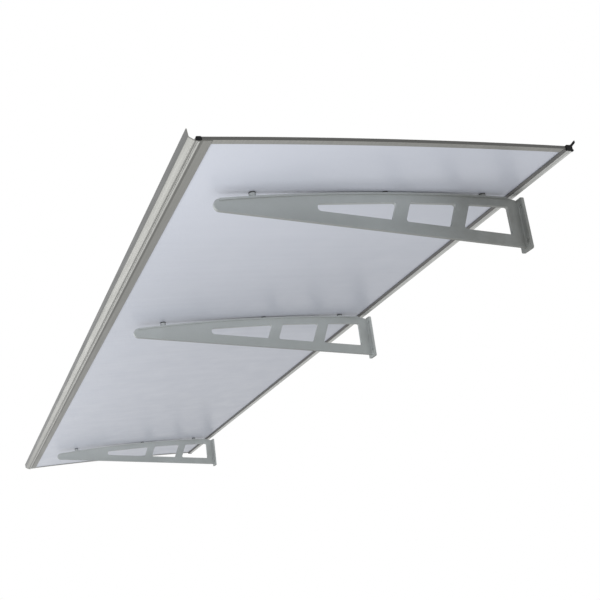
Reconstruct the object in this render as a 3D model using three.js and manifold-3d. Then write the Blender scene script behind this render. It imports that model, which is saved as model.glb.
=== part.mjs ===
// Door canopy: a bowed opal sheet in aluminium edge profiles, carried by three windowed wall brackets.
// Millimetres, +Z up. X runs along the wall, the wall is the plane Y = 0 and the roof reaches towards -Y.
// The origin is the centre of the middle bracket's wall face.
import * as THREE from "three";
import { mergeVertices } from "three/addons/utils/BufferGeometryUtils.js";
import Module from "manifold-3d";

// Roof
const CANOPY_WIDTH = 3000; // over the end caps
const SHEET_DEPTH = 716; // rear edge to front edge, measured level
const SHEET_THICKNESS = 3;
const SHEET_RISE = 5; // bow of the sheet above the straight line between its edges
const SHEET_FALL = 21; // front edge below rear edge
const REAR_SETBACK = 15; // wall to the sheet's rear edge
const SHEET_ABOVE_PLATE = 12; // sheet's rear edge above the top of the wall plates

// Places of the brackets along the wall
const RIGHT_OVERHANG = 206; // right end to right bracket
const RIGHT_SPAN = 774; // right bracket to middle bracket
const LEFT_OVERHANG = 354; // left bracket to left end

// Bracket
const WEB_THICKNESS = 8;
const FLANGE_WIDTH = 14;
const FLANGE_THICKNESS = 4;
const TIP_GAP = 10.4; // under the pads to the top edge at the tip
const MIDDLE_GAP = 0.6; // the same in the middle
const SHOULDER_GAP = 5.5; // the same at the shoulder
const SHOULDER_REACH = 34; // wall to the rear end of the top edge, clear of the rear profile
const SHOULDER_DROP = 5; // web's top corner below the top of the plate
const TIP_SETBACK = 75; // sheet's front edge to the bracket's tip
const TIP_RADIUS = 12;
const TOP_MEMBER = 20; // above the windows
const BOTTOM_MEMBER = 24; // below the windows
const WALL_MEMBER = 27; // between the wall plate and the first window
const STRUT_WIDTH = 29;
const STRUT_LEAN = 0.38; // radians from upright, head towards the wall
const FRONT_WINDOW_STRETCH = 1.6; // length of the front window against the other two
const WINDOW_FILLET = 5;
const WINDOW_NOSE = 15; // height of the front window at its round front end

// Wall plate
const PLATE_WIDTH = 36;
const PLATE_HEIGHT = 112;
const PLATE_THICKNESS = 6;
const PLATE_CORNER = 4;
const PLATE_FOOT = 6.5; // plate below the heel of the web
const PLATE_FILLET = 3; // between web and plate
const ANCHOR_HOLE_RADIUS = 3.5;
const ANCHOR_HOLE_SIDE = 11; // from the web's middle plane
const ANCHOR_HOLE_RISE = 38; // above and below the plate's centre

// Sheet fixings
const PAD_THICKNESS = 2;
const PAD_RADIUS = 7;
const WASHER_THICKNESS = 2;
const WASHER_RADIUS = 9.5;
const SCREW_RADIUS = 2.5;
const SCREW_BITE = 18; // depth into the bracket
const SCREW_POINT = 3;
const SCREW_COLLAR_RADIUS = 6.5;
const SCREW_COLLAR_HEIGHT = 1.2;
const SCREW_HEX_RADIUS = 4.6;
const SCREW_HEAD_HEIGHT = 5;
const SHEET_HOLE_RADIUS = 4; // room for the sheet to grow in the sun
const REAR_SCREW_REACH = 85; // wall to rear screw
const FRONT_SCREW_SETBACK = 78; // tip to front screw
const MIDDLE_SCREW_OFFSET = 28; // middle screw in front of the front strut

// Front profile, in the section at the sheet's front edge
const FRONT_WALL = 2;
const FRONT_LOWER_LIP = 23.3;
const FRONT_UPPER_LIP = 14;
const FRONT_EXPANSION_GAP = 3; // before the sheet's edge
const GUTTER_WIDTH = 12.5;
const GUTTER_RISE = 6.8;
const LIP_HEIGHT = 15.5;
const LIP_LEAN = 1.4;
const BEAD_PLACE = -1.8; // sheet's edge to the outer side of the drip bead
const BEAD_WIDTH = 3.8;
const BEAD_HEIGHT = 1.8;
const OUTER_GROOVE_WIDTH = 3.2;
const INNER_GROOVE_WIDTH = 5.4;
const GROOVE_DEPTH = 0.9;
const GROOVE_LAND = 2; // between the outer groove and the gutter floor

// Front slot plugs
const PLUG_HEAD_THICKNESS = 2;
const PLUG_STEM = 12;
const PLUG_REACH = 5; // head over the sheet's edge

// Rear profile, in the section at the sheet's rear edge
const REAR_WALL = 1.8;
const REAR_UPPER_LIP = 8;
const REAR_LOWER_LIP = 3;
const REAR_EXPANSION_GAP = 3;
const WALL_CLEARANCE = 0.6; // wall arm to the wall
const DRIP_ARM = 2.2; // reach down and back
const GASKET_THICKNESS = 1.5;
const GASKET_NOSE = 8.5; // gasket in front of the lower lip
const GASKET_NOSE_DEPTH = 2.2;
const END_CAP_THICKNESS = 3;
const END_CAP_MARGIN = 1.2; // cap past the profile's section

// Side trims
const TRIM_WALL = 1.2;
const TRIM_FLANGE = 14;

// Clearances and resolution
const SEAT_GAP = 0.3; // between pieces that rest on each other
const SLOT_GAP = 0.3; // between the sheet and what grips it
const OVERSHOOT = 5; // cutters past the surface they cut
const ROUND_STEPS = 16;
const ARC_STEPS = 8;
const SHEET_STEPS = 24;
const CORNER_STEPS = 3;

const FINISHES = {
  sheet: { color: 0xc4c8d4, roughness: 0.35, metalness: 0 },
  aluminium: { color: 0xbfbfb6, roughness: 0.4, metalness: 0.85 },
  bracket: { color: 0x959a98, roughness: 0.55, metalness: 0.1 },
  rubber: { color: 0x151515, roughness: 0.8, metalness: 0 },
  black: { color: 0x0c0c0c, roughness: 0.5, metalness: 0 },
  steel: { color: 0xa8a8a8, roughness: 0.35, metalness: 0.9 },
};

const wasm = await Module();
wasm.setup();

const point = (x, y) => new THREE.Vector2(x, y);
const corner = (x, y, radius = 0) => ({ at: point(x, y), radius });

// An arc in the Y-Z plane from a front point to a rear point, bowed upwards.
function bowed(front, rear, rise) {
  const chord = front.distanceTo(rear);
  const radius = (chord ** 2 / 4 + rise ** 2) / (2 * rise);
  const up = point(front.y - rear.y, rear.x - front.x).divideScalar(chord);
  const centre = front.clone().lerp(rear, 0.5).addScaledVector(up, rise - radius);
  const at = (angle, over = 0) => point(radius + over, 0).rotateAround(point(0, 0), angle).add(centre);
  const angleAt = (reach, over = 0) => Math.acos((-reach - centre.x) / (radius + over));
  return {
    centre,
    radius,
    at,
    angleAt,
    atReach: (reach, over = 0) => at(angleAt(reach, over), over),
    frontAngle: front.clone().sub(centre).angle(),
    rearAngle: rear.clone().sub(centre).angle(),
  };
}

// Shared form of the roof: the underside of the sheet.
const rearEdge = point(-REAR_SETBACK, PLATE_HEIGHT / 2 + SHEET_ABOVE_PLATE);
const frontEdge = point(rearEdge.x - SHEET_DEPTH, rearEdge.y - SHEET_FALL);
const sheetArc = bowed(frontEdge, rearEdge, SHEET_RISE);

// Places along the wall, counted from the middle bracket.
const rightEnd = RIGHT_SPAN + RIGHT_OVERHANG;
const leftEnd = rightEnd - CANOPY_WIDTH;
const bracketPlaces = { right: RIGHT_SPAN, middle: 0, left: leftEnd + LEFT_OVERHANG };
const endInset = END_CAP_THICKNESS + SEAT_GAP;
const cutEnds = { right: rightEnd - endInset, left: leftEnd + endInset };

// Bracket form that other pieces follow.
const bracketReach = REAR_SETBACK + SHEET_DEPTH - TIP_SETBACK;
const padStack = PAD_THICKNESS + 2 * SEAT_GAP;
const topArc = bracketTop();
const tipCentre = topArc.at(topArc.frontAngle, -TIP_RADIUS);
const webRoot = -PLATE_THICKNESS / 2;
const heel = point(webRoot, PLATE_FOOT - PLATE_HEIGHT / 2);
const heelFromTip = heel.clone().sub(tipCentre);
const tangentAngle = heelFromTip.angle() - Math.acos(TIP_RADIUS / heelFromTip.length());
const tipTangent = tipCentre.clone().add(point(TIP_RADIUS, 0).rotateAround(point(0, 0), tangentAngle));
const bottomEdge = lineThrough(tipTangent, heel);
const windowFloor = parallel(bottomEdge, BOTTOM_MEMBER);
const windows = windowPlaces();
const frontStrut = (windows[1].front + windows[2].rear) / 2;
const screwReaches = [
  REAR_SCREW_REACH,
  frontStrut + MIDDLE_SCREW_OFFSET,
  bracketReach - FRONT_SCREW_SETBACK,
];

// The top edge of a bracket comes up towards the pads in the middle and falls away from them at its ends.
function bracketTop() {
  const under = (reach, gap) => sheetArc.atReach(reach).sub(point(0, padStack + gap));
  const tip = under(bracketReach - TIP_RADIUS, TIP_GAP);
  const shoulder = under(SHOULDER_REACH, SHOULDER_GAP);
  const middle = tip.clone().lerp(shoulder, 0.5);
  return bowed(tip, shoulder, under(-middle.x, MIDDLE_GAP).y - middle.y);
}

// Lines in a section: a point and a direction.
function lineThrough(from, to) {
  return { from, along: to.clone().sub(from).normalize() };
}

// The same line moved to its left by a distance.
function parallel(line, distance) {
  const left = point(-line.along.y, line.along.x);
  return { from: line.from.clone().addScaledVector(left, distance), along: line.along };
}

function meet(a, b) {
  const between = b.from.clone().sub(a.from);
  const along = between.cross(b.along) / a.along.cross(b.along);
  return a.from.clone().addScaledVector(a.along, along);
}

// A closed outline with its corners rounded by arcs.
function rounded(path, corners) {
  corners.forEach(({ at, radius }, i) => {
    const before = corners[(i + corners.length - 1) % corners.length].at.clone().sub(at);
    const after = corners[(i + 1) % corners.length].at.clone().sub(at);
    const halfAngle = before.angleTo(after) / 2;
    const room = Math.min(before.length(), after.length()) / 2;
    const size = Math.min(radius, room * Math.tan(halfAngle));
    if (size === 0) {
      if (i === 0) path.moveTo(at.x, at.y);
      else path.lineTo(at.x, at.y);
      return;
    }
    before.normalize();
    after.normalize();
    const trim = size / Math.tan(halfAngle);
    const inward = before.clone().add(after).normalize();
    const centre = at.clone().addScaledVector(inward, size / Math.sin(halfAngle));
    const start = at.clone().addScaledVector(before, trim).sub(centre).angle();
    const end = at.clone().addScaledVector(after, trim).sub(centre).angle();
    path.absarc(centre.x, centre.y, size, start, end, before.cross(after) > 0);
  });
  path.closePath();
  return path;
}

// A band that follows an arc, between two heights over it and two angles.
function arcBand(arc, low, high, front = arc.frontAngle, rear = arc.rearAngle) {
  const band = new THREE.Shape();
  band.absarc(arc.centre.x, arc.centre.y, arc.radius + high, rear, front, false);
  band.absarc(arc.centre.x, arc.centre.y, arc.radius + low, front, rear, true);
  band.closePath();
  return band;
}

// Pushes a section through space: its first axis becomes `first`, its second axis +Z or `second`.
function push(shape, from, to, steps, first, second) {
  const geometry = new THREE.ExtrudeGeometry(shape, {
    depth: to - from,
    bevelEnabled: false,
    curveSegments: steps,
  });
  geometry.translate(0, 0, from);
  const third = new THREE.Vector3().crossVectors(first, second);
  return geometry.applyMatrix4(new THREE.Matrix4().makeBasis(first, second, third));
}

const X = new THREE.Vector3(1, 0, 0);
const Y = new THREE.Vector3(0, 1, 0);
const Z = new THREE.Vector3(0, 0, 1);
const alongX = (shape, from, to, steps = CORNER_STEPS) => push(shape, from, to, steps, Y, Z);
const alongZ = (shape, from, to, steps = CORNER_STEPS) => push(shape, from, to, steps, X, Y);
// Sections in the X-Z plane are pushed from the wall outwards.
const fromWall = (shape, from, to, steps = CORNER_STEPS) => push(shape, from, to, steps, X, Z);

function solid(geometry) {
  const bare = geometry.clone();
  bare.deleteAttribute("normal");
  bare.deleteAttribute("uv");
  const merged = mergeVertices(bare, 1e-4);
  return new wasm.Manifold(
    new wasm.Mesh({
      numProp: 3,
      vertProperties: merged.attributes.position.array,
      triVerts: new Uint32Array(merged.index.array),
    }),
  );
}

function fromSolid(made) {
  const mesh = made.getMesh();
  const geometry = new THREE.BufferGeometry();
  geometry.setAttribute("position", new THREE.BufferAttribute(mesh.vertProperties, 3));
  geometry.setIndex(new THREE.BufferAttribute(mesh.triVerts, 1));
  geometry.computeVertexNormals();
  return geometry;
}

// A turned piece about Z from its radius and height pairs.
function turned(pairs) {
  const profile = pairs.map(([radius, height]) => point(radius, height));
  return new THREE.LatheGeometry(profile, ROUND_STEPS).rotateX(Math.PI / 2);
}

function ring(inner, outer, low, high) {
  return turned([
    [inner, low],
    [outer, low],
    [outer, high],
    [inner, high],
    [inner, low],
  ]);
}

function rod(radius, low, high, sides = ROUND_STEPS) {
  const geometry = new THREE.CylinderGeometry(radius, radius, high - low, sides);
  return geometry.rotateX(Math.PI / 2).translate(0, 0, (low + high) / 2);
}

// Stands a group on the sheet's underside with its Z axis square to the sheet.
function seatOnSheet(group, x, angle) {
  const seat = sheetArc.at(angle);
  group.position.set(x, seat.x, seat.y);
  group.rotation.x = angle - Math.PI / 2;
  group.updateMatrix();
  return group;
}

// The seats of one bracket's screws, for a bracket at a place along the wall.
function screwSeats(x) {
  return screwReaches.map((reach) => seatOnSheet(new THREE.Group(), x, sheetArc.angleAt(reach)));
}

// Reaches of each window's rear and front ends, from the wall forwards. The front window runs on until
// its members come together at its round nose.
function windowPlaces() {
  const rear = PLATE_THICKNESS + WALL_MEMBER;
  const open = tipReach() - rear - 2 * STRUT_WIDTH;
  const length = open / (2 + FRONT_WINDOW_STRETCH);
  const second = rear + length + STRUT_WIDTH;
  const third = second + length + STRUT_WIDTH;
  const lean = STRUT_LEAN;
  return [
    { rear, front: rear + length, rearLean: 0, frontLean: lean, nose: WINDOW_FILLET },
    { rear: second, front: second + length, rearLean: lean, frontLean: lean, nose: WINDOW_FILLET },
    { rear: third, front: tipReach(), rearLean: lean, frontLean: 0, nose: WINDOW_NOSE / 2 },
  ];
}

// Height of the clear space between the windows' ceiling and floor, at a reach from the wall.
function clearHeight(reach) {
  const ceiling = topArc.atReach(reach, -TOP_MEMBER);
  return ceiling.y - meet(windowFloor, { from: ceiling, along: point(0, 1) }).y;
}

function tipReach() {
  let low = PLATE_THICKNESS;
  let high = bracketReach;
  while (high - low > SEAT_GAP) {
    const middle = (low + high) / 2;
    if (clearHeight(middle) > WINDOW_NOSE) low = middle;
    else high = middle;
  }
  return low;
}

function windowCutter({ rear, front, rearLean, frontLean, nose }) {
  const ceiling = lineThrough(topArc.atReach(rear, -TOP_MEMBER), topArc.atReach(front, -TOP_MEMBER));
  const side = (reach, lean) => {
    const middle = topArc.atReach(reach, -TOP_MEMBER).y - clearHeight(reach) / 2;
    return { from: point(-reach, middle), along: point(Math.sin(lean), Math.cos(lean)) };
  };
  const rearSide = side(rear, rearLean);
  const frontSide = side(front, frontLean);
  const outline = rounded(new THREE.Shape(), [
    { at: meet(frontSide, windowFloor), radius: nose },
    { at: meet(rearSide, windowFloor), radius: WINDOW_FILLET },
    { at: meet(rearSide, ceiling), radius: WINDOW_FILLET },
    { at: meet(frontSide, ceiling), radius: nose },
  ]);
  return alongX(outline, -WEB_THICKNESS, WEB_THICKNESS);
}

function bracketWeb() {
  const web = new THREE.Shape();
  web.moveTo(tipTangent.x, tipTangent.y);
  web.lineTo(heel.x, heel.y);
  web.lineTo(webRoot, PLATE_HEIGHT / 2 - SHOULDER_DROP);
  web.absarc(topArc.centre.x, topArc.centre.y, topArc.radius, topArc.rearAngle, topArc.frontAngle, false);
  web.absarc(tipCentre.x, tipCentre.y, TIP_RADIUS, topArc.frontAngle, tangentAngle + 2 * Math.PI, false);
  web.closePath();
  return alongX(web, -WEB_THICKNESS / 2, WEB_THICKNESS / 2, ARC_STEPS);
}

function bracketFlange() {
  const flange = arcBand(topArc, -FLANGE_THICKNESS, 0);
  return alongX(flange, -FLANGE_WIDTH / 2, FLANGE_WIDTH / 2, ARC_STEPS);
}

function bracketPlate() {
  const side = PLATE_WIDTH / 2;
  const end = PLATE_HEIGHT / 2;
  const plate = rounded(new THREE.Shape(), [
    corner(-side, -end, PLATE_CORNER),
    corner(side, -end, PLATE_CORNER),
    corner(side, end, PLATE_CORNER),
    corner(-side, end, PLATE_CORNER),
  ]);
  for (const across of [-ANCHOR_HOLE_SIDE, ANCHOR_HOLE_SIDE]) {
    for (const up of [-ANCHOR_HOLE_RISE, ANCHOR_HOLE_RISE]) {
      const hole = new THREE.Path();
      hole.absarc(across, up, ANCHOR_HOLE_RADIUS, 0, 2 * Math.PI, false);
      plate.holes.push(hole);
    }
  }
  return fromWall(plate, 0, PLATE_THICKNESS, ARC_STEPS);
}

// The web thickens into the plate with a hollow fillet on each side.
function plateFillet() {
  const half = WEB_THICKNESS / 2;
  const face = -PLATE_THICKNESS;
  const root = new THREE.Shape();
  root.moveTo(-half - PLATE_FILLET, webRoot);
  root.lineTo(half + PLATE_FILLET, webRoot);
  root.lineTo(half + PLATE_FILLET, face);
  root.absarc(half + PLATE_FILLET, face - PLATE_FILLET, PLATE_FILLET, Math.PI / 2, Math.PI, false);
  root.absarc(-half - PLATE_FILLET, face - PLATE_FILLET, PLATE_FILLET, 0, Math.PI / 2, false);
  root.closePath();
  return alongZ(root, heel.y, PLATE_HEIGHT / 2 - SHOULDER_DROP, CORNER_STEPS);
}

// Bosses carry the pads where the top edge falls away from the sheet.
function screwBosses() {
  return screwSeats(0).map((seat, i) => {
    const reach = screwReaches[i];
    const gap = sheetArc.atReach(reach).y - topArc.atReach(reach).y;
    const boss = rod(FLANGE_WIDTH / 2, -gap - FLANGE_THICKNESS / 2, -padStack);
    return boss.applyMatrix4(seat.matrix);
  });
}

function bracketGeometry() {
  let bracket = solid(bracketWeb());
  for (const piece of [bracketFlange(), bracketPlate(), plateFillet(), ...screwBosses()]) {
    bracket = bracket.add(solid(piece));
  }
  for (const window of windows) {
    bracket = bracket.subtract(solid(windowCutter(window)));
  }
  const bore = rod(SCREW_RADIUS + SEAT_GAP, -padStack - SCREW_BITE - SEAT_GAP, OVERSHOOT);
  for (const seat of screwSeats(0)) {
    bracket = bracket.subtract(solid(bore.clone().applyMatrix4(seat.matrix)));
  }
  return fromSolid(bracket);
}

function sheetGeometry() {
  const band = arcBand(sheetArc, 0, SHEET_THICKNESS);
  let sheet = solid(alongX(band, cutEnds.left, cutEnds.right, SHEET_STEPS));
  const hole = rod(SHEET_HOLE_RADIUS, -OVERSHOOT, SHEET_THICKNESS + OVERSHOOT);
  for (const x of Object.values(bracketPlaces)) {
    for (const seat of screwSeats(x)) {
      sheet = sheet.subtract(solid(hole.clone().applyMatrix4(seat.matrix)));
    }
  }
  return fromSolid(sheet);
}

// Section of the front profile, with the sheet's front edge at its origin and the sheet towards +y: a slot
// that grips the sheet, a drip bead between two grooves, and a gutter floor that turns up into a lip.
const frontSlot = { low: -SLOT_GAP, high: SHEET_THICKNESS + SLOT_GAP, back: -FRONT_EXPANSION_GAP };
const frontUnder = frontSlot.low - FRONT_WALL;
const frontTop = frontSlot.high + FRONT_WALL;
const frontWallFace = frontSlot.back - FRONT_WALL;

function frontSection() {
  const outerGroove = BEAD_PLACE - OUTER_GROOVE_WIDTH;
  const floorStart = point(outerGroove - GROOVE_LAND, frontUnder);
  const foot = point(frontWallFace - GUTTER_WIDTH, frontUnder + GUTTER_RISE);
  const lipTop = point(foot.x - LIP_LEAN, foot.y + LIP_HEIGHT);
  const floor = parallel(lineThrough(foot, floorStart), FRONT_WALL);
  const lip = parallel(lineThrough(lipTop, foot), FRONT_WALL);
  const insideFoot = meet(floor, lip);
  const inside = frontUnder + FRONT_WALL;
  const insideBend = meet(floor, { from: point(0, inside), along: point(1, 0) });
  const insideTop = meet(lip, { from: lipTop, along: point(1, 0) });
  const beadEnd = BEAD_PLACE + BEAD_WIDTH;
  const groove = (start, width) => [
    corner(start, frontUnder),
    corner(start + width / 2, frontUnder + GROOVE_DEPTH),
    corner(start + width, frontUnder),
  ];
  const edge = FRONT_WALL / 2;
  return rounded(new THREE.Shape(), [
    { at: foot, radius: 2 * FRONT_WALL },
    corner(floorStart.x, floorStart.y, FRONT_WALL),
    ...groove(outerGroove, OUTER_GROOVE_WIDTH),
    corner(BEAD_PLACE, frontUnder - BEAD_HEIGHT, BEAD_WIDTH / 2),
    corner(beadEnd, frontUnder - BEAD_HEIGHT, BEAD_WIDTH / 2),
    ...groove(beadEnd, INNER_GROOVE_WIDTH),
    corner(FRONT_LOWER_LIP, frontUnder, edge),
    corner(FRONT_LOWER_LIP, frontSlot.low),
    corner(frontSlot.back, frontSlot.low),
    corner(frontSlot.back, frontSlot.high),
    corner(FRONT_UPPER_LIP, frontSlot.high),
    corner(FRONT_UPPER_LIP, frontTop, edge),
    corner(frontWallFace, frontTop, FRONT_WALL),
    corner(frontWallFace, inside, edge),
    { at: insideBend, radius: edge },
    { at: insideFoot, radius: 1.5 * FRONT_WALL },
    { at: insideTop, radius: edge },
    { at: lipTop, radius: edge },
  ]);
}

// A plug head over the end of the slot, with a stem in the room before the sheet's edge.
function frontPlugGeometry() {
  const head = rounded(new THREE.Shape(), [
    corner(frontWallFace, frontUnder, FRONT_WALL),
    corner(PLUG_REACH, frontUnder, FRONT_WALL),
    corner(PLUG_REACH, frontTop, FRONT_WALL),
    corner(frontWallFace, frontTop, FRONT_WALL),
  ]);
  const stem = rounded(new THREE.Shape(), [
    corner(frontSlot.back + SEAT_GAP, frontSlot.low + SEAT_GAP),
    corner(-SEAT_GAP, frontSlot.low + SEAT_GAP),
    corner(-SEAT_GAP, frontSlot.high - SEAT_GAP),
    corner(frontSlot.back + SEAT_GAP, frontSlot.high - SEAT_GAP),
  ]);
  const headSolid = solid(alongX(head, 0, PLUG_HEAD_THICKNESS));
  return fromSolid(headSolid.add(solid(alongX(stem, -PLUG_STEM, PLUG_HEAD_THICKNESS / 2))));
}

// Section of the rear profile, with the sheet's rear edge at its origin and the sheet towards -y.
const rearSlot = {
  low: -2 * SEAT_GAP - GASKET_THICKNESS,
  high: SHEET_THICKNESS + SLOT_GAP,
  back: REAR_EXPANSION_GAP,
};
const rearUnder = rearSlot.low - REAR_WALL;
const rearTop = rearSlot.high + REAR_WALL;
const rearWallFace = rearSlot.back + REAR_WALL;

// The rear side of that section: a drip arm down and back, and an arm up and back to the wall.
function rearArms(margin) {
  const face = rearWallFace + margin;
  const low = rearUnder - margin;
  const high = rearTop + margin;
  const width = (REAR_WALL + 2 * margin) * Math.SQRT2;
  const wallTip = REAR_SETBACK - WALL_CLEARANCE;
  const armRun = wallTip - face;
  const edge = REAR_WALL / 2;
  return [
    corner(face - width / 2, low, edge),
    corner(face + DRIP_ARM - width / 2, low - DRIP_ARM, edge),
    corner(face + DRIP_ARM, low - DRIP_ARM + width / 2, edge),
    corner(face, low + width / 2, edge),
    corner(face, high - width / 2, edge),
    corner(wallTip, high - width / 2 + armRun, edge),
    corner(wallTip, high + width / 2 + armRun, edge),
    corner(face - width / 2, high, edge),
  ];
}

function rearSection() {
  const edge = REAR_WALL / 2;
  return rounded(new THREE.Shape(), [
    corner(-REAR_LOWER_LIP, rearUnder, edge),
    ...rearArms(0),
    corner(-REAR_UPPER_LIP, rearTop, edge),
    corner(-REAR_UPPER_LIP, rearSlot.high),
    corner(rearSlot.back, rearSlot.high),
    corner(rearSlot.back, rearSlot.low),
    corner(-REAR_LOWER_LIP, rearSlot.low),
  ]);
}

function rearCapSection() {
  return rounded(new THREE.Shape(), [
    corner(-REAR_UPPER_LIP, rearUnder - END_CAP_MARGIN, REAR_WALL),
    ...rearArms(END_CAP_MARGIN),
    corner(-REAR_UPPER_LIP, rearTop + END_CAP_MARGIN, REAR_WALL),
  ]);
}

// A flat tongue between the lip and the sheet, with a thicker nose in front of the lip.
function gasketSection() {
  const noseBack = -REAR_LOWER_LIP - SEAT_GAP;
  const noseFront = noseBack - GASKET_NOSE;
  const top = -SEAT_GAP;
  return rounded(new THREE.Shape(), [
    corner(noseFront, top - GASKET_NOSE_DEPTH, GASKET_NOSE_DEPTH / 2),
    corner(noseBack, top - GASKET_NOSE_DEPTH),
    corner(noseBack, top - GASKET_THICKNESS),
    corner(rearSlot.back - SEAT_GAP, top - GASKET_THICKNESS),
    corner(rearSlot.back - SEAT_GAP, top),
    corner(noseFront, top, GASKET_NOSE_DEPTH / 2),
  ]);
}

// An edging for the bowed end of the sheet: a wall from the front plug to the rear cap, and two flanges
// between the front profile's lip and the gasket's nose.
function sideTrimGeometry(cut, inwards) {
  const fromFront = (distance) => sheetArc.frontAngle - distance / sheetArc.radius;
  const fromRear = (distance) => sheetArc.rearAngle + distance / sheetArc.radius;
  const low = -SLOT_GAP;
  const high = SHEET_THICKNESS + SLOT_GAP;
  const inner = cut - inwards * SLOT_GAP;
  const outer = inner - inwards * TRIM_WALL;
  const flangeEnd = outer + inwards * TRIM_FLANGE;
  const band = (bottom, top, front, rear, from, to) => {
    const section = arcBand(sheetArc, bottom, top, fromFront(front), fromRear(rear));
    return solid(alongX(section, Math.min(from, to), Math.max(from, to), ARC_STEPS));
  };
  const front = FRONT_LOWER_LIP + SEAT_GAP;
  const rear = REAR_LOWER_LIP + GASKET_NOSE + 2 * SEAT_GAP;
  const bottom = low - TRIM_WALL;
  const top = high + TRIM_WALL;
  const wall = band(bottom, top, PLUG_REACH + SEAT_GAP, REAR_UPPER_LIP + SEAT_GAP, outer, inner);
  const flanges = band(bottom, top, front, rear, outer, flangeEnd);
  const past = flangeEnd + inwards * OVERSHOOT;
  const hollow = band(low, high, front - OVERSHOOT, rear - OVERSHOOT, inner, past);
  return fromSolid(wall.add(flanges).subtract(hollow));
}

// Fixings, with the sheet's underside at height 0.
const washerSeat = SHEET_THICKNESS + SEAT_GAP;
const headSeat = washerSeat + WASHER_THICKNESS + SEAT_GAP;

function padGeometry() {
  return ring(SCREW_RADIUS + SEAT_GAP, PAD_RADIUS, -SEAT_GAP - PAD_THICKNESS, -SEAT_GAP);
}

function washerGeometry() {
  const inner = SCREW_RADIUS + SEAT_GAP;
  const top = washerSeat + WASHER_THICKNESS;
  return turned([
    [inner, washerSeat],
    [WASHER_RADIUS, washerSeat],
    [WASHER_RADIUS, washerSeat + WASHER_THICKNESS / 2],
    [SCREW_COLLAR_RADIUS, top],
    [inner, top],
    [inner, washerSeat],
  ]);
}

function screwGeometry() {
  const end = -padStack - SCREW_BITE;
  const collarTop = headSeat + SCREW_COLLAR_HEIGHT;
  const stem = turned([
    [0, end],
    [SCREW_RADIUS, end + SCREW_POINT],
    [SCREW_RADIUS, headSeat],
    [SCREW_COLLAR_RADIUS, headSeat],
    [SCREW_COLLAR_RADIUS, collarTop - SCREW_COLLAR_HEIGHT / 2],
    [SCREW_HEX_RADIUS, collarTop],
    [0, collarTop],
  ]);
  const hexFoot = headSeat + SCREW_COLLAR_HEIGHT / 2;
  const hex = rod(SCREW_HEX_RADIUS, hexFoot, headSeat + SCREW_HEAD_HEIGHT, 6);
  return fromSolid(solid(stem).add(solid(hex)));
}

function mesh(name, geometry, finish) {
  const made = new THREE.Mesh(geometry, new THREE.MeshStandardMaterial(FINISHES[finish]));
  made.name = name;
  return made;
}

function makeRoof() {
  const roof = new THREE.Group();
  roof.add(mesh("roof_panel", sheetGeometry(), "sheet"));

  const front = seatOnSheet(new THREE.Group(), 0, sheetArc.frontAngle);
  front.add(mesh("front_profile", alongX(frontSection(), cutEnds.left, cutEnds.right), "aluminium"));
  const rear = seatOnSheet(new THREE.Group(), 0, sheetArc.rearAngle);
  rear.add(mesh("rear_profile", alongX(rearSection(), cutEnds.left, cutEnds.right), "aluminium"));
  rear.add(mesh("rear_gasket", alongX(gasketSection(), cutEnds.left, cutEnds.right), "rubber"));
  roof.add(front, rear);

  for (const [side, outwards] of [["right", 1], ["left", -1]]) {
    const plug = mesh(`front_slot_plug_${side}`, frontPlugGeometry(), "black");
    plug.position.x = cutEnds[side] + outwards * SEAT_GAP;
    plug.scale.x = outwards;
    front.add(plug);

    const cap = mesh(`rear_end_cap_${side}`, alongX(rearCapSection(), 0, END_CAP_THICKNESS), "black");
    cap.position.x = cutEnds[side] + outwards * SEAT_GAP;
    cap.scale.x = outwards;
    rear.add(cap);

    roof.add(mesh(`side_trim_${side}`, sideTrimGeometry(cutEnds[side], -outwards), "aluminium"));
  }
  return roof;
}

function makeBracket(side, x) {
  const group = new THREE.Group();
  const bracket = mesh(`bracket_${side}`, bracketGeometry(), "bracket");
  bracket.position.x = x;
  group.add(bracket);
  screwSeats(x).forEach((seat, i) => {
    const label = `${side}_${i + 1}`;
    seat.add(mesh(`sheet_pad_${label}`, padGeometry(), "rubber"));
    seat.add(mesh(`screw_washer_${label}`, washerGeometry(), "steel"));
    seat.add(mesh(`sheet_screw_${label}`, screwGeometry(), "steel"));
    group.add(seat);
  });
  return group;
}

const canopy = new THREE.Group();
canopy.name = "door_canopy";
canopy.add(makeRoof());
for (const [side, x] of Object.entries(bracketPlaces)) {
  canopy.add(makeBracket(side, x));
}

export default canopy;
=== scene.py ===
"""Looks of the door canopy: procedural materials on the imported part, soft studio light and the photo's camera."""
import math

import bpy
from mathutils import Euler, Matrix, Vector

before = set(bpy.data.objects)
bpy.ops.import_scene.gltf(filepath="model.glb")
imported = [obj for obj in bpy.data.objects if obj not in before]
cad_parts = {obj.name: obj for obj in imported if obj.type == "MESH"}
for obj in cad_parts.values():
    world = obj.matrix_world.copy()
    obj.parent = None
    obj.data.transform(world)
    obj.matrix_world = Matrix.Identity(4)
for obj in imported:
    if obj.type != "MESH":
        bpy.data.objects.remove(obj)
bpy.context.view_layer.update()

# Camera, from a pinhole fit to the photo
CAMERA_PLACE = (2.29654, -1.13599, -0.68105)
CAMERA_TURN = (107.85905, 7.36423, 70.07933)  # degrees
CAMERA_LENS = 57.5854  # mm
CAMERA_SENSOR = 36  # mm wide
CAMERA_CLIP = 0.05  # nearest distance that shows

# Surroundings
FLOOR_DEPTH = 4.6  # under the brackets, low enough for a look from below
FLOOR_RADIUS = 42
FLOOR_CORNERS = 96
WORLD_STRENGTH = 1.0

# Soft boxes, with power in watts and the beam's spread in degrees
SOFT_BOXES = {
    "front_light": {
        "place": (-0.4, -1.15, -0.35), "aim": (-0.4, -0.7, 0.05),
        "length": 4.4, "width": 0.5, "power": 12.5, "spread": 180,
    },
    "end_light": {
        "place": (0.42, -0.45, -0.9), "aim": (1.1, -0.38, 0.06),
        "length": 0.6, "width": 0.7, "power": 0.5, "spread": 75,
    },
}

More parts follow.
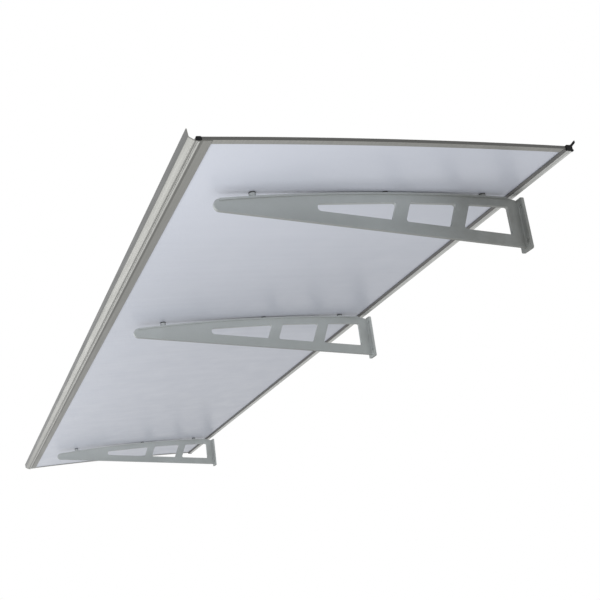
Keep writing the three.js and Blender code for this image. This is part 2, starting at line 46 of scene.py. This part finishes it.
# Edges, with angles in degrees
WELD_DISTANCE = 0.000004
FLAT_ANGLE = 0.2  # faces at a smaller angle are joined
BOWED_FLAT_ANGLE = 0.01  # keeps the facets of the bowed sheet apart
BEVEL_ANGLE = 45  # sharper edges are bevelled
BEVEL_SEGMENTS = 2
SMOOTH_ANGLE = 40  # sharper edges aren't shaded smooth

# Bevel widths
SHEET_BEVEL = 0.0004
PROFILE_BEVEL = 0.0002
TRIM_BEVEL = 0  # the trims' cut ends are too fine for one
BRACKET_BEVEL = 0.0008
PLASTIC_BEVEL = 0.0003
GASKET_BEVEL = 0.0003
PAD_BEVEL = 0.0005
WASHER_BEVEL = 0.0002
SCREW_BEVEL = 0.0003

# Shares of the noise's range
NOISE_BAND = (0.3, 0.7)  # holds most of its values

# Sockets of the colour mix node
MIX_SHARE, MIX_FIRST, MIX_SECOND = 0, 6, 7
MIX_RESULT = 2

# Painted light and shade across the underside of the front profile, as (first Y, last Y, grey): darker as painted
# shade in the bend, the grooves and under the sheet, and paler as a painted highlight on the drip bead
FRONT_SHADING_ZONES = [
    (-0.7510, -0.7490, 136),  # bend into the lip
    (-0.7440, -0.7386, 152),  # gutter
    (-0.7380, -0.7330, 145),  # outer groove
    (-0.7325, -0.7291, 178),  # drip bead
    (-0.7286, -0.7238, 107),  # inner groove
    (-0.7230, -0.7070, 133),  # flange under the sheet
]
# Painted shade on the side trims' undersides, as (first Y, last Y, grey)
TRIM_SHADING_ZONES = [(-0.73, 0.0, 146)]
ZONE_WARMTH = 4  # by which a zone's blue is below its grey


def tone(red, green, blue, share=1.0):
    """Linear colour of an sRGB tone from 0 to 255, dimmed to a share of its light."""
    def linear(value):
        value /= 255
        return value / 12.92 if value <= 0.04045 else ((value + 0.055) / 1.055) ** 2.4
    return tuple(share * linear(value) for value in (red, green, blue)) + (1.0,)


class Look:
    """A node material in the making, in the part's own metres."""

    def __init__(self, name, metallic=0.0, ior=1.5):
        self.material = bpy.data.materials.new(name)
        self.material.use_nodes = True
        self.tree = self.material.node_tree
        self.shader = self.tree.nodes["Principled BSDF"]
        self.set("Metallic", metallic)
        self.set("IOR", ior)
        self.place = self.node("ShaderNodeTexCoord").outputs["Object"]

    def node(self, kind, inputs=None, **settings):
        made = self.tree.nodes.new(kind)
        for setting, value in settings.items():
            setattr(made, setting, value)
        for socket, value in (inputs or {}).items():
            self.feed(made.inputs[socket], value)
        return made

    def feed(self, socket, value):
        if isinstance(value, bpy.types.NodeSocket):
            self.tree.links.new(value, socket)
        else:
            socket.default_value = value

    def set(self, socket, value):
        self.feed(self.shader.inputs[socket], value)

    def noise(self, scale, stretch=(1, 1, 1), detail=3.0):
        """Cloudy noise from 0 to 1, with `scale` lumps to a metre, more along an axis that is stretched."""
        spread = self.node("ShaderNodeMapping", {"Vector": self.place, "Scale": stretch})
        inputs = {"Vector": spread.outputs[0], "Scale": scale, "Detail": detail, "Roughness": 0.5}
        return self.node("ShaderNodeTexNoise", inputs).outputs["Fac"]

    def span(self, value, low, high, to_low=0.0, to_high=1.0, smooth=False):
        """A value carried from one range to another and held at its ends."""
        inputs = {"Value": value, "From Min": low, "From Max": high, "To Min": to_low, "To Max": to_high}
        kind = "SMOOTHSTEP" if smooth else "LINEAR"
        return self.node("ShaderNodeMapRange", inputs, interpolation_type=kind).outputs["Result"]

    def ramp(self, value, stops):
        """Colours by value, from (place, colour) stops."""
        made = self.node("ShaderNodeValToRGB", {"Fac": value})
        elements = made.color_ramp.elements
        while len(elements) < len(stops):
            elements.new(0.5)
        for element, (place, colour) in zip(elements, stops):
            element.position = place
            element.color = colour
        return made.outputs["Color"]

    def patches(self, noise, first, second, band=NOISE_BAND):
        """Two colours that blend into each other within a band of a noise."""
        return self.ramp(noise, list(zip(band, (first, second))))

    def mix(self, share, first, second, kind="MIX"):
        """Two colours mixed by a share."""
        made = self.node("ShaderNodeMix", data_type="RGBA", blend_type=kind)
        for socket, value in ((MIX_SHARE, share), (MIX_FIRST, first), (MIX_SECOND, second)):
            self.feed(made.inputs[socket], value)
        return made.outputs[MIX_RESULT]

    def times(self, first, second):
        """The product of two shares."""
        made = self.node("ShaderNodeMath", operation="MULTIPLY")
        self.feed(made.inputs[0], first)
        self.feed(made.inputs[1], second)
        return made.outputs[0]

    def axis(self, name):
        """The place along an axis."""
        return self.node("ShaderNodeSeparateXYZ", {"Vector": self.place}).outputs[name]

    def facing(self, name):
        """How far a face looks along an axis, from -1 to 1."""
        normal = self.node("ShaderNodeNewGeometry").outputs["Normal"]
        return self.node("ShaderNodeSeparateXYZ", {"Vector": normal}).outputs[name]

    def rough(self, noise, least, most):
        """Roughness from the least to the most within the band of a noise."""
        self.set("Roughness", self.span(noise, *NOISE_BAND, least, most))

    def bump(self, *layers):
        """Relief from (height, depth in metres) layers, one over the other."""
        normal = None
        for height, depth in layers:
            made = self.node("ShaderNodeBump", {"Height": height, "Strength": 1.0, "Distance": depth})
            if normal is not None:
                self.feed(made.inputs["Normal"], normal)
            normal = made.outputs["Normal"]
        self.set("Normal", normal)


def opal_sheet():
    """Opal plastic with faint extrusion streaks, a right end painted paler as painted light, and dust on top."""
    look = Look("opal_sheet", ior=1.58)
    streaks = look.noise(1.0, stretch=(55, 1.3, 1), detail=4)
    colour = look.patches(streaks, tone(172, 176, 186), tone(176, 180, 190))
    clouds = look.span(look.noise(2.2, detail=2), *NOISE_BAND, 0.0, 0.35)
    colour = look.mix(clouds, colour, tone(170, 174, 183))
    # painted light: the sheet's colour turns paler towards its right end
    painted_light_right_end = look.span(look.axis("X"), 0.35, 0.95, smooth=True)
    colour = look.mix(painted_light_right_end, colour, tone(182, 186, 196))
    upside = look.span(look.facing("Z"), 0.5, 0.9)
    dust = look.span(look.noise(9, stretch=(1, 0.25, 1), detail=6), 0.35, 0.75, 0.0, 0.5)
    look.set("Base Color", look.mix(look.times(upside, dust), colour, tone(168, 163, 152)))
    look.rough(look.noise(14), 0.30, 0.42)
    waves = look.noise(5, stretch=(1, 0.5, 1), detail=1)
    grain = look.noise(420, detail=2)
    look.bump((waves, 0.0012), (grain, 0.00002))
    return look.material


def aluminium(name, pale, zones=None, shaded_face=None):
    """Extruded aluminium with die lines along X, in a pale tone. The underside may take painted light and shade by
    zone across the section, from (first Y, last Y, grey) zones, and the faces that look one way along an axis may
    be darkened with a painted shade, from (axis, way, colour)."""
    look = Look(name, metallic=0.55)
    die_lines = look.noise(1.0, stretch=(0.8, 1100, 1100))
    base = look.patches(look.noise(7, detail=2), tone(*pale, 0.94), tone(*pale, 1.06))
    if zones:
        low, high = zones[0][0], zones[-1][1]
        across = look.span(look.axis("Y"), low, high)
        stops = [
            ((y - low) / (high - low), tone(grey, grey, grey - ZONE_WARMTH))
            for *ends, grey in zones
            for y in ends
        ]
        # painted light and shade on the underside, by zone across the section
        underside = look.span(look.facing("Z"), 0.5, 0.2)
        base = look.mix(underside, base, look.ramp(across, stops))
    if shaded_face:
        axis, way, colour = shaded_face
        # painted shade on the faces that look the given way along the axis
        shaded_side = look.span(look.facing(axis), way * 0.67, way * 0.92)
        base = look.mix(shaded_side, base, colour)
    shade = look.patches(die_lines, tone(228, 228, 228), tone(255, 255, 255), band=(0.25, 0.75))
    look.set("Base Color", look.mix(1.0, base, shade, "MULTIPLY"))
    look.rough(look.noise(18, stretch=(0.4, 6, 6)), 0.34, 0.48)
    grain = look.noise(900, detail=2)
    look.bump((die_lines, 0.00003), (grain, 0.000006))
    return look.material


def powder_coat(name, low, high, unshaded_to, shaded_from, wall_shade_share):
    """Grey powder coat that goes from a low tone at the lower edge to a high one under the sheet, as painted light
    and shade, with painted shade on its downward faces near the lower edge, and painted shade towards the wall,
    mottled by noise, from none at one Y to a (least, most) share at another."""
    look = Look(name)
    grain = look.noise(1600, detail=2)
    patches = look.noise(11)
    height = look.axis("Z")
    # painted light and shade: darker at the lower edge, lighter under the sheet
    colour = look.mix(look.span(height, -0.01, 0.05, smooth=True), tone(*low), tone(*high))
    shade = look.patches(patches, tone(245, 245, 245), tone(255, 255, 255))
    colour = look.mix(1.0, colour, shade, "MULTIPLY")
    colour = look.mix(look.span(grain, 0.45, 0.75, 0.0, 0.4), colour, tone(144, 148, 148))
    upside = look.span(look.facing("Z"), 0.4, 0.9)
    dust = look.span(patches, *NOISE_BAND, 0.1, 0.6)
    colour = look.mix(look.times(upside, dust), colour, tone(170, 166, 157))
    # painted shade: downward faces turn darker, most near the lower edge
    underside = look.span(look.facing("Z"), -0.4, -0.9)
    lower_edge_shade_share = look.span(height, 0.015, 0.035, 0.85, 0.5)
    colour = look.mix(look.times(underside, lower_edge_shade_share), colour, tone(112, 115, 113))
    # painted shade: darker towards the wall, mottled by noise
    wallward = look.span(look.axis("Y"), unshaded_to, shaded_from, smooth=True)
    wall_shade_mottle = look.span(look.noise(30, detail=4), 0.2, 0.8, *wall_shade_share)
    look.set("Base Color", look.mix(look.times(wallward, wall_shade_mottle), colour, tone(104, 105, 101)))
    look.rough(look.noise(60, detail=4), 0.44, 0.6)
    peel = look.noise(300, detail=1)
    look.bump((peel, 0.00006), (grain, 0.00002))
    return look.material


def rubber(name, dark, pale):
    """Matte rubber with a paler bloom."""
    look = Look(name)
    bloom = look.noise(45, stretch=(0.3, 1, 1), detail=4)
    look.set("Base Color", look.patches(bloom, tone(*dark), tone(*pale), band=(0.35, 0.75)))
    look.rough(bloom, 0.62, 0.82)
    grain = look.noise(1800, detail=2)
    look.bump((grain, 0.00004))
    return look.material


def black_plastic():
    """Black moulded plastic with fine grain and worn spots."""
    look = Look("black_plastic", ior=1.3)
    grain = look.noise(2200, detail=2)
    wear = look.noise(120, detail=5)
    look.set("Base Color", look.patches(wear, tone(7, 7, 8), tone(22, 22, 23), band=(0.4, 0.8)))
    look.rough(grain, 0.5, 0.68)
    look.bump((grain, 0.00003))
    return look.material


def zinc_steel():
    """Steel with a mottled zinc plating."""
    look = Look("zinc_steel", metallic=1.0)
    grain = look.noise(700, detail=4)
    look.set("Base Color", look.patches(grain, tone(172, 172, 170), tone(205, 205, 203)))
    look.rough(look.noise(260), 0.25, 0.45)
    look.bump((grain, 0.00002))
    return look.material


def softening_groups():
    """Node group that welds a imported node's triangles, and one that shades its shallow edges smooth."""
    weld = bpy.data.node_groups.new("weld", "GeometryNodeTree")
    smooth = bpy.data.node_groups.new("smooth", "GeometryNodeTree")
    for group in (weld, smooth):
        group.interface.new_socket("Geometry", in_out="INPUT", socket_type="NodeSocketGeometry")
        group.interface.new_socket("Geometry", in_out="OUTPUT", socket_type="NodeSocketGeometry")

    def chain(group, steps):
        last = group.nodes.new("NodeGroupInput").outputs[0]
        for step in steps:
            group.links.new(last, step.inputs[0])
            last = step.outputs[0]
        group.links.new(last, group.nodes.new("NodeGroupOutput").inputs[0])

    merge = weld.nodes.new("GeometryNodeMergeByDistance")
    merge.inputs["Distance"].default_value = WELD_DISTANCE
    forget = weld.nodes.new("GeometryNodeRemoveAttribute")
    forget.inputs["Name"].default_value = "custom_normal"
    chain(weld, [merge, forget])

    faces = smooth.nodes.new("GeometryNodeSetShadeSmooth")
    edges = smooth.nodes.new("GeometryNodeSetShadeSmooth")
    edges.domain = "EDGE"
    edges.inputs["Shade Smooth"].default_value = False
    angle = smooth.nodes.new("GeometryNodeInputMeshEdgeAngle")
    steep = smooth.nodes.new("FunctionNodeCompare")
    steep.operation = "GREATER_THAN"
    steep.inputs["B"].default_value = math.radians(SMOOTH_ANGLE)
    smooth.links.new(angle.outputs["Unsigned Angle"], steep.inputs["A"])
    smooth.links.new(steep.outputs["Result"], edges.inputs["Selection"])
    chain(smooth, [faces, edges])
    return weld, smooth


weld_group, smooth_group = softening_groups()


def soften(node, width, flat_angle):
    """Joins a CAD node's flat faces and breaks its sharp edges with a small bevel, if it has a width."""
    node.modifiers.new("weld", "NODES").node_group = weld_group
    flat = node.modifiers.new("flat", "DECIMATE")
    flat.decimate_type = "DISSOLVE"
    flat.angle_limit = math.radians(flat_angle)
    if width:
        bevel = node.modifiers.new("bevel", "BEVEL")
        bevel.width = width
        bevel.segments = BEVEL_SEGMENTS
        bevel.limit_method = "ANGLE"
        bevel.angle_limit = math.radians(BEVEL_ANGLE)
    node.modifiers.new("smooth", "NODES").node_group = smooth_group
    level = node.modifiers.new("level", "WEIGHTED_NORMAL")
    level.keep_sharp = True


def dress(prefix, material, bevel, flat_angle=FLAT_ANGLE):
    """Gives every CAD node whose name starts with a prefix its material and bevel."""
    for name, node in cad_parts.items():
        if name.startswith(prefix):
            node.material_slots[0].material = material
            soften(node, bevel, flat_angle)


def dress_sheet_and_edges():
    dress("roof_panel", opal_sheet(), SHEET_BEVEL, BOWED_FLAT_ANGLE)
    # the front lip's outer face, looking toward -Y, takes a painted shade
    front = aluminium("front_aluminium", (192, 193, 190), FRONT_SHADING_ZONES, ("Y", -1, tone(100, 101, 100)))
    dress("front_profile", front, PROFILE_BEVEL)
    dress("rear_profile", aluminium("rear_aluminium", (194, 195, 192)), PROFILE_BEVEL)
    for end, way in (("right", 1), ("left", -1)):
        # each trim's outer end face takes a painted shade, and its underside the trim's painted shade zone
        trim = aluminium("trim_aluminium_" + end, (192, 193, 190), TRIM_SHADING_ZONES, ("X", way, tone(92, 92, 90)))
        dress("side_trim_" + end, trim, TRIM_BEVEL)


def dress_brackets():
    # painted shade: the right bracket's coat is darker than the others', with stronger painted shade towards the
    # wall
    painted_shade_right_coat = powder_coat(
        "wall_shaded_powder_coat", low=(146, 151, 151), high=(172, 177, 177),
        unshaded_to=-0.32, shaded_from=-0.06, wall_shade_share=(0.6, 0.9),
    )
    dress("bracket_right", painted_shade_right_coat, BRACKET_BEVEL)
    other_coat = powder_coat(
        "grey_powder_coat", low=(166, 171, 170), high=(181, 186, 186),
        unshaded_to=-0.20, shaded_from=-0.02, wall_shade_share=(0.0, 0.3),
    )
    dress("bracket_middle", other_coat, BRACKET_BEVEL)
    dress("bracket_left", other_coat, BRACKET_BEVEL)


def dress_small_pieces():
    black = black_plastic()
    dress("front_slot_plug", black, PLASTIC_BEVEL)
    dress("rear_end_cap", black, PLASTIC_BEVEL)
    dress("rear_gasket", rubber("weathered_rubber", (84, 84, 84), (106, 105, 103)), GASKET_BEVEL)
    dress("sheet_pad", rubber("black_rubber", (40, 40, 41), (66, 65, 64)), PAD_BEVEL)
    steel = zinc_steel()
    dress("screw_washer", steel, WASHER_BEVEL)
    dress("sheet_screw", steel, SCREW_BEVEL)


def add_floor():
    """A round, pale floor under the canopy."""
    mesh = bpy.data.meshes.new("floor")
    turns = [2 * math.pi * i / FLOOR_CORNERS for i in range(FLOOR_CORNERS)]
    rim = [(FLOOR_RADIUS * math.cos(turn), FLOOR_RADIUS * math.sin(turn), -FLOOR_DEPTH) for turn in turns]
    mesh.from_pydata(rim, [], [range(FLOOR_CORNERS)])
    floor = bpy.data.objects.new("floor", mesh)
    bpy.context.collection.objects.link(floor)
    look = Look("pale_floor")
    look.set("Base Color", look.patches(look.noise(0.6), tone(226, 226, 226), tone(232, 232, 232)))
    look.rough(look.noise(3), 0.75, 0.9)
    mesh.materials.append(look.material)


def add_world():
    """Even white light from all around."""
    world = bpy.data.worlds.new("studio")
    world.use_nodes = True
    background = world.node_tree.nodes["Background"]
    background.inputs["Color"].default_value = (1, 1, 1, 1)
    background.inputs["Strength"].default_value = WORLD_STRENGTH
    bpy.context.scene.world = world


def add_soft_box(name, place, aim, length, width, power, spread):
    """A soft light with its length along X."""
    data = bpy.data.lights.new(name, "AREA")
    data.shape = "RECTANGLE"
    data.size = length
    data.size_y = width
    data.energy = power
    data.spread = math.radians(spread)
    light = bpy.data.objects.new(name, data)
    light.location = place
    light.rotation_euler = (Vector(aim) - Vector(place)).to_track_quat("-Z", "Y").to_euler()
    light.visible_camera = False
    bpy.context.collection.objects.link(light)


def add_camera():
    """The photo's camera."""
    data = bpy.data.cameras.new("photo_camera")
    data.sensor_width = CAMERA_SENSOR
    data.lens = CAMERA_LENS
    data.clip_start = CAMERA_CLIP
    camera = bpy.data.objects.new("photo_camera", data)
    camera.location = CAMERA_PLACE
    camera.rotation_euler = Euler([math.radians(turn) for turn in CAMERA_TURN])
    bpy.context.collection.objects.link(camera)
    bpy.context.scene.camera = camera


dress_sheet_and_edges()
dress_brackets()
dress_small_pieces()
add_floor()
add_world()
for box_name, box_values in SOFT_BOXES.items():
    add_soft_box(box_name, **box_values)
add_camera()
bpy.context.scene.view_settings.view_transform = "Standard"
